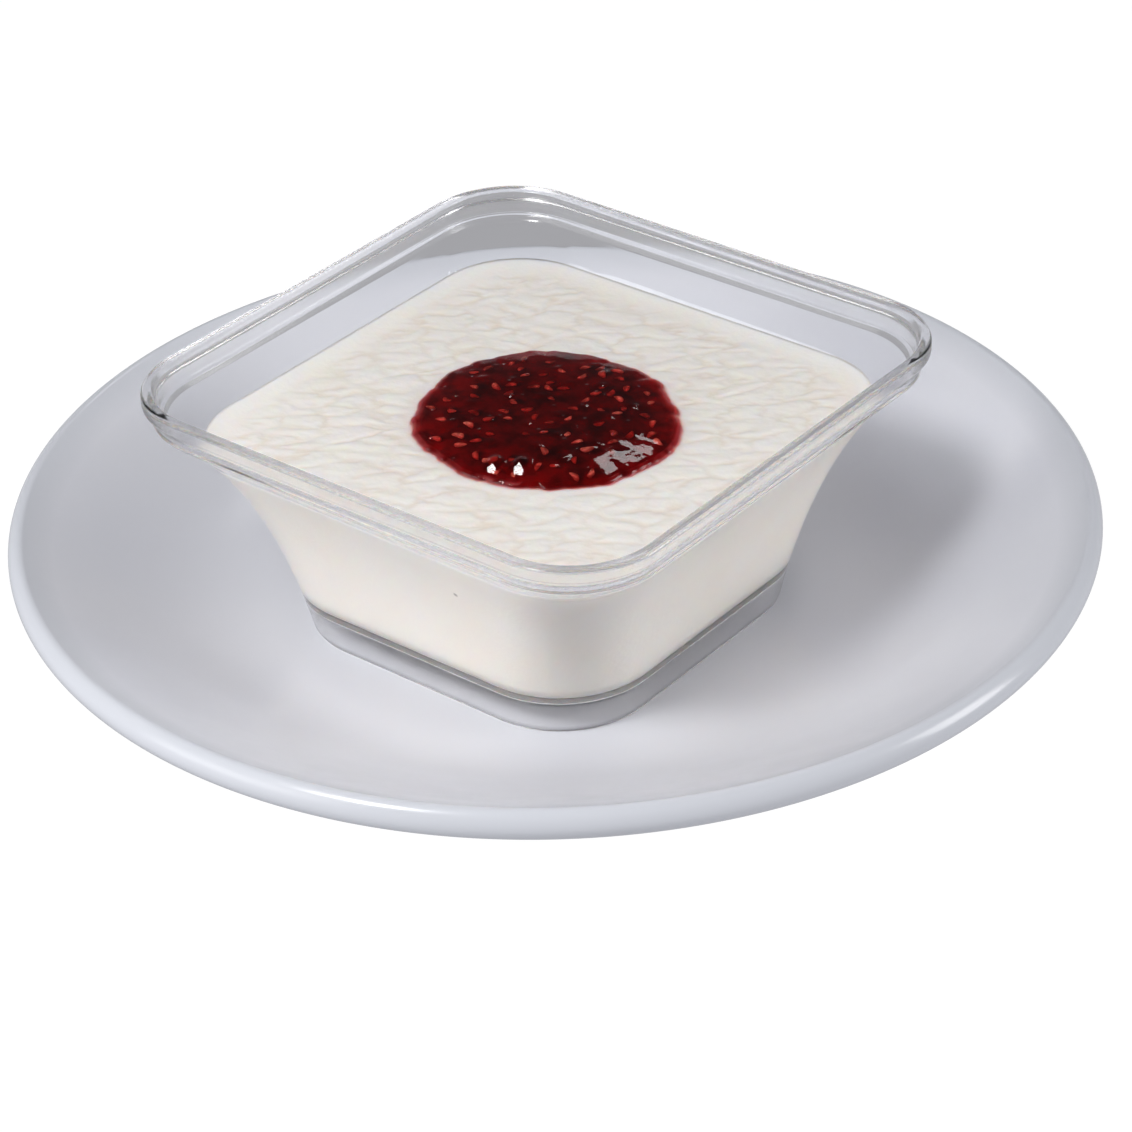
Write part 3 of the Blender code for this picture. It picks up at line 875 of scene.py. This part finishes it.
def jam_top(share):
    """Height above the dish's foot at a share of the radius: flat, then falling to the brink."""
    fall = max(share - JAM_FLAT, 0) / (1 - JAM_FLAT)
    return PUDDING_LEVEL + JAM_BRINK + (JAM_CROWN - JAM_BRINK) * (1 - fall * fall)


def seed_places():
    """The seeds that lift the top: spread by a fixed spiral, each nudged a little."""
    draw = random.Random(7)
    golden = math.pi * (3 - math.sqrt(5))
    places = []
    for i in range(SEED_COUNT):
        share = SEED_REACH * math.sqrt((i + 0.5) / SEED_COUNT)
        angle = i * golden + draw.uniform(-0.12, 0.12)
        radius = share * jam_reach(angle)
        x, y = jam_x + radius * math.cos(angle), jam_y + radius * math.sin(angle)
        places.append((x, y, draw.uniform(0, math.pi)))
    return places


def mound(x, y, places):
    """How far the seeds lift the jam at a place."""
    lift = 0.0
    for seed_x, seed_y, turned in places:
        along = (x - seed_x) * math.cos(turned) + (y - seed_y) * math.sin(turned)
        across = (y - seed_y) * math.cos(turned) - (x - seed_x) * math.sin(turned)
        away = (along / (0.75 * SEED_LENGTH)) ** 2 + (across / (0.85 * SEED_WIDTH)) ** 2
        lift = max(lift, SEED_PROUD * math.exp(-2.5 * away))
    return lift


def lumped(x, y, height):
    """The height with the lumps by the front brink: each swells up behind a steep flat face."""
    for lump_x, lump_y, half_width in LUMPS:
        out_x, out_y = x - jam_x - lump_x, y - jam_y - lump_y
        behind = -out_x * math.cos(LUMP_FACE_TURN) - out_y * math.sin(LUMP_FACE_TURN)
        aside = out_x * math.sin(LUMP_FACE_TURN) - out_y * math.cos(LUMP_FACE_TURN)
        swell = ((behind - 1.3 * MM) / (1.5 * MM)) ** 2 + (aside / (1.3 * half_width)) ** 2
        height += LUMP_RISE * math.exp(-swell)
        face = PUDDING_LEVEL + max(LUMP_FACE_FOOT + LUMP_FACE_RISE * behind, LUMP_TOE)
        face += 0.7 / MM * max(abs(aside) - half_width, 0) ** 2
        low = min(max(0.5 + (face - height) / (0.3 * MM), 0.0), 1.0)
        height = face * (1 - low) + height * low - 0.15 * MM * low * (1 - low)
    return height


lifting_seeds = seed_places()
print(len(lifting_seeds), "seeds lift the jam's top")

# %% Jam mesh
def jam_ring(inset, height, top=False):
    """The outline drawn in by a distance. On top, the seeds and the lumps shape it."""
    ring = []
    for i in range(JAM_STEPS):
        angle = 2 * math.pi * i / JAM_STEPS
        radius = (1 - inset / JAM_RADIUS) * jam_reach(angle)
        x, y = jam_x + radius * math.cos(angle), jam_y + radius * math.sin(angle)
        shaped = lumped(x, y, height + mound(x, y, lifting_seeds)) if top else height
        ring.append((x, y, foot_z + shaped))
    return ring


def jam_rings():
    rings = []
    for inset in (0.93, 0.7, 0.4, 0.2):
        rings.append(jam_ring(inset * JAM_RADIUS, PUDDING_LEVEL - JAM_DIP - UNDER_SKIN))
    for k in range(8):
        inset = JAM_DIP_SHOULDER * (1 - k / 8) + 0.1 * MM
        dip = JAM_DIP * smooth_step(inset / JAM_DIP_SHOULDER)
        rings.append(jam_ring(inset, PUDDING_LEVEL - dip - UNDER_SKIN))
    for k in range(12):
        turned = 0.5 * math.pi * k / 11
        height = PUDDING_LEVEL - UNDER_SKIN + (JAM_BRINK + UNDER_SKIN) * math.sin(turned)
        rings.append(jam_ring(JAM_BRINK_WIDTH * (1 - math.cos(turned)), height, k > 5))
    rim_share = 1 - JAM_BRINK_WIDTH / JAM_RADIUS
    for k in range(1, 90):
        share = rim_share * (1 - k / 90) + 0.02 * k / 90
        rings.append(jam_ring((1 - share) * JAM_RADIUS, jam_top(share), True))
    return rings


jam_body = bpy.data.objects.new("jam", loft("jam", jam_rings(), raspberry_syrup))
bpy.context.collection.objects.link(jam_body)
print("jam before rippling:", len(jam_body.data.polygons), "faces")

# %% Ripple tree
RIPPLES = {"Lump Size": 4.0 * MM, "Lump Height": 0.15 * MM, "Wrinkle Size": 1.3 * MM,
           "Wrinkle Height": 0.06 * MM, "Syrup": raspberry_syrup}


def ripple_tree():
    tree, given = new_tree("rippled_jam", RIPPLES)
    place = add(tree, "GeometryNodeInputPosition").outputs[0]
    up = height_of(tree, add(tree, "GeometryNodeInputNormal").outputs[0])
    facing_up = add(tree, "ShaderNodeMapRange", {"Value": up, "From Min": -0.2, "From Max": 0.8},
                    interpolation_type="SMOOTHSTEP").outputs[0]
    heights = []
    for size, height in (("Lump Size", "Lump Height"), ("Wrinkle Size", "Wrinkle Height")):
        noise = add(tree, "ShaderNodeTexNoise", {
            "Vector": place, "Scale": maths(tree, "DIVIDE", 1.0, given[size]), "Detail": 1.0})
        centred = maths(tree, "SUBTRACT", noise.outputs[0], 0.5)
        heights.append(maths(tree, "MULTIPLY", centred, given[height]))
    relief = maths(tree, "MULTIPLY", facing_up, maths(tree, "ADD", *heights))
    moved = add(tree, "GeometryNodeSetPosition", {
        "Geometry": given["Geometry"],
        "Offset": add(tree, "ShaderNodeCombineXYZ", {2: relief}).outputs[0]})
    close_tree(tree, moved.outputs[0], given["Syrup"])
    return tree


rippled = grow(jam_body, ripple_tree(), RIPPLES)
rippled.name = "jam_pool"
rippled.shade_smooth()
make_piece("raspberry_jam", rippled, "jam")

# %% [markdown]
# ## Seeds in the jam
#
# Most seeds are sunk at different depths. A geometry tree scatters points over a sheet halfway down
# the pool, lifts or sinks each one as far as the depth allows, and sets a seed on it, turned at
# random. A seed is a small ball drawn out to one pointed end and bent a little, like a comma.

# %% Seed tree
SCATTER = {"Spacing": 2.7 * MM, "Per Square Metre": 130000.0, "Seed Length": SEED_LENGTH,
           "Seed Width": 0.85 * SEED_WIDTH, "Taper": 0.55, "Bend": 1.1, "Coat": seed_coat}


def seed_tree():
    tree, given = new_tree("scattered_seeds", SCATTER)
    spots = add(tree, "GeometryNodeDistributePointsOnFaces", {
        "Mesh": given["Geometry"], "Distance Min": given["Spacing"],
        "Density Max": given["Per Square Metre"], "Seed": 4}, distribute_method="POISSON")
    lift = add(tree, "FunctionNodeRandomValue", {2: -1.3, 3: 0.9, "Seed": 11}, data_type="FLOAT").outputs[1]
    room = add(tree, "GeometryNodeInputNamedAttribute", {"Name": "room"}, data_type="FLOAT").outputs[0]
    depth = add(tree, "ShaderNodeCombineXYZ", {2: maths(tree, "MULTIPLY", lift, room)}).outputs[0]
    spread = add(tree, "GeometryNodeSetPosition", {"Geometry": spots.outputs[0], "Offset": depth})
    ball = add(tree, "GeometryNodeMeshUVSphere", {"Segments": 12, "Rings": 8, "Radius": 0.5})
    position = add(tree, "GeometryNodeInputPosition").outputs[0]
    place = add(tree, "ShaderNodeSeparateXYZ", {0: position}).outputs
    taper = maths(tree, "SUBTRACT", 1.0, maths(tree, "MULTIPLY", place[0], given["Taper"]))
    bend = maths(tree, "MULTIPLY", maths(tree, "MULTIPLY", place[0], place[0]), given["Bend"])
    shaped = add(tree, "GeometryNodeSetPosition", {
        "Geometry": ball.outputs[0],
        "Position": add(tree, "ShaderNodeCombineXYZ", {
            0: place[0], 1: maths(tree, "ADD", maths(tree, "MULTIPLY", place[1], taper), bend),
            2: maths(tree, "MULTIPLY", place[2], taper)}).outputs[0]})
    size = add(tree, "ShaderNodeCombineXYZ", {
        0: given["Seed Length"], 1: given["Seed Width"],
        2: maths(tree, "MULTIPLY", given["Seed Width"], 0.8)}).outputs[0]
    seed = add(tree, "GeometryNodeTransform", {"Geometry": shaped.outputs[0], "Scale": size})
    turned = add(tree, "FunctionNodeRandomValue", {
        0: (-0.6, -0.5, 0.0), 1: (0.6, 0.5, 6.283), "Seed": 5}, data_type="FLOAT_VECTOR").outputs[0]
    grown = add(tree, "FunctionNodeRandomValue", {2: 0.8, 3: 1.2, "Seed": 9}, data_type="FLOAT").outputs[1]
    placed = add(tree, "GeometryNodeInstanceOnPoints", {
        "Points": spread.outputs[0], "Instance": seed.outputs[0], "Rotation": turned, "Scale": grown})
    close_tree(tree, placed.outputs[0], given["Coat"])
    return tree


SEED_CLEAR = 1.3 * MM
SEED_COVER = 0.95 * MM


def seed_sheet():
    """A sheet halfway down the pool, to carry the sunk seeds. It knows how far each may rise or sink."""
    count, points, room, faces = 60, [], [], []
    for ring in range(1, 11):
        share = 0.088 * ring
        for i in range(count):
            angle = 2 * math.pi * i / count
            radius = share * jam_reach(angle)
            x, y = jam_x + radius * math.cos(angle), jam_y + radius * math.sin(angle)
            low = PUDDING_LEVEL - JAM_DIP * smooth_step(inside_jam(x, y) / JAM_DIP_SHOULDER)
            near = ((0, 0), (SEED_CLEAR, 0), (-SEED_CLEAR, 0), (0, SEED_CLEAR), (0, -SEED_CLEAR))
            top = min(lumped(x + dx, y + dy, jam_top(share)) for dx, dy in near)
            half_depth = 0.5 * (top - low)
            points.append((x, y, foot_z + low + half_depth))
            room.append(max(half_depth - SEED_COVER, 0.1 * MM))
            if ring > 1:
                a, b = (ring - 1) * count + i, (ring - 1) * count + (i + 1) % count
                faces.append((a - count, a, b, b - count))
    faces.append(tuple(range(count)))
    mesh = bpy.data.meshes.new("seed_sheet")
    mesh.from_pydata(points, [], faces)
    mesh.attributes.new("room", "FLOAT", "POINT").data.foreach_set("value", room)
    sheet = bpy.data.objects.new("seed_sheet", mesh)
    bpy.context.collection.objects.link(sheet)
    return sheet


sunk_mesh = grow(seed_sheet(), seed_tree(), SCATTER)
sunk_mesh.name = "sunk_seeds"
sunk_mesh.shade_smooth()
make_piece("sunk_seeds", sunk_mesh)

# %% [markdown]
# ## Studio
#
# A plain pale floor, a small key lamp and a wide soft lamp in front and to the left, and lamps behind
# and to the right that give the jam and the wall their reflections. The floor and the surround look
# white to the camera, but mid grey through the clear wall and in reflections, because a clear wall in
# a white room would be invisible. The floor and the lamps aren't part of the dessert.

# %% Floor
FLOOR_DROP = 0.2 * MM
FLOOR_REACH = 4.0
FLOOR_SHADE_SHARE = 0.06
SEEN_WHITE = 1.04
ROOM_GREY = (0.40, 0.40, 0.42, 1)
BOUNCE_GREY = (0.64, 0.64, 0.66, 1)


def make_floor():
    material = bpy.data.materials.new("pale_floor")
    material.use_nodes = True
    tree = material.node_tree
    path = add(tree, "ShaderNodeLightPath").outputs
    bounced = blend(tree, path["Is Diffuse Ray"], ROOM_GREY, BOUNCE_GREY)
    colour = blend(tree, path["Is Camera Ray"], bounced, (SEEN_WHITE, SEEN_WHITE, SEEN_WHITE, 1))
    glow = add(tree, "ShaderNodeEmission", {"Color": colour})
    shade = add(tree, "ShaderNodeBsdfDiffuse", {"Color": colour})
    mix = add(tree, "ShaderNodeMixShader", {
        0: FLOOR_SHADE_SHARE, 1: glow.outputs[0], 2: shade.outputs[0]})
    tree.links.new(mix.outputs[0], tree.nodes["Material Output"].inputs["Surface"])
    corners = [(-1, -1), (1, -1), (1, 1), (-1, 1)]
    places = [(x * FLOOR_REACH, y * FLOOR_REACH, -FLOOR_DROP) for x, y in corners]
    mesh = bpy.data.meshes.new("floor")
    mesh.from_pydata(places, [], [(0, 1, 2, 3)])
    mesh.materials.append(material)
    floor = bpy.data.objects.new("floor", mesh)
    bpy.context.collection.objects.link(floor)


make_floor()
print("floor ready")

# %% Lamps
LAMP_TARGET = Vector((0, 0, 30 * MM))


def soft_box(name, toward, distance, size, power):
    """A rectangular lamp that faces the dessert from a direction."""
    data = bpy.data.lights.new(name, "AREA")
    data.shape = "RECTANGLE"
    data.size, data.size_y = size
    data.energy = power
    lamp = bpy.data.objects.new(name, data)
    direction = Vector(toward).normalized()
    lamp.location = LAMP_TARGET + direction * distance
    lamp.rotation_euler = direction.to_track_quat("Z", "Y").to_euler()
    bpy.context.collection.objects.link(lamp)


soft_box("key", (-0.05, -0.685, 0.73), 0.5, (0.11, 0.11), 1.19)
soft_box("front", (-0.35, -0.85, 0.30), 0.8, (0.5, 0.4), 1.5)
soft_box("right", (0.83, 0.48, 0.30), 1.0, (0.36, 0.5), 3.6)
soft_box("back", (-0.347, 0.626, 0.699), 1.0, (0.14, 0.10), 0.22)

# %% Surround
ROOM_STRENGTH = 0.70
HIGH_SHADE = 0.22
HIGH_START = 0.25


def make_surround():
    """An even grey room, darker high up for mirror reflections, and white to the camera."""
    world = bpy.data.worlds.new("surround")
    world.use_nodes = True
    tree = world.node_tree
    up = height_of(tree, add(tree, "ShaderNodeTexCoord").outputs["Generated"])
    high = ramp(tree, up, 0.0, HIGH_START, 1.0, HIGH_SHADE)
    path = add(tree, "ShaderNodeLightPath").outputs
    in_mirror = maths(tree, "MULTIPLY", path["Is Glossy Ray"], path["Is Reflection Ray"])
    mirrored = add(tree, "ShaderNodeMix", {"Factor": in_mirror, "A": 1.0, "B": high},
                   data_type="FLOAT").outputs["Result"]
    room = tree.nodes["Background"]
    white = SEEN_WHITE / ROOM_STRENGTH
    seen = blend(tree, path["Is Camera Ray"], ROOM_GREY, (white, white, white, 1))
    tree.links.new(seen, room.inputs["Color"])
    tree.links.new(maths(tree, "MULTIPLY", mirrored, ROOM_STRENGTH), room.inputs["Strength"])
    return world


bpy.context.scene.world = make_surround()
bpy.context.scene.view_settings.view_transform = "Standard"
bpy.context.scene.cycles.max_bounces = 14
bpy.context.scene.cycles.glossy_bounces = 8
bpy.context.scene.cycles.transmission_bounces = 12
print("surround:", bpy.context.scene.world.name)

# %% [markdown]
# ## The end
#
# The last cell only says that the scene is built.

# %% End
print("scene built")
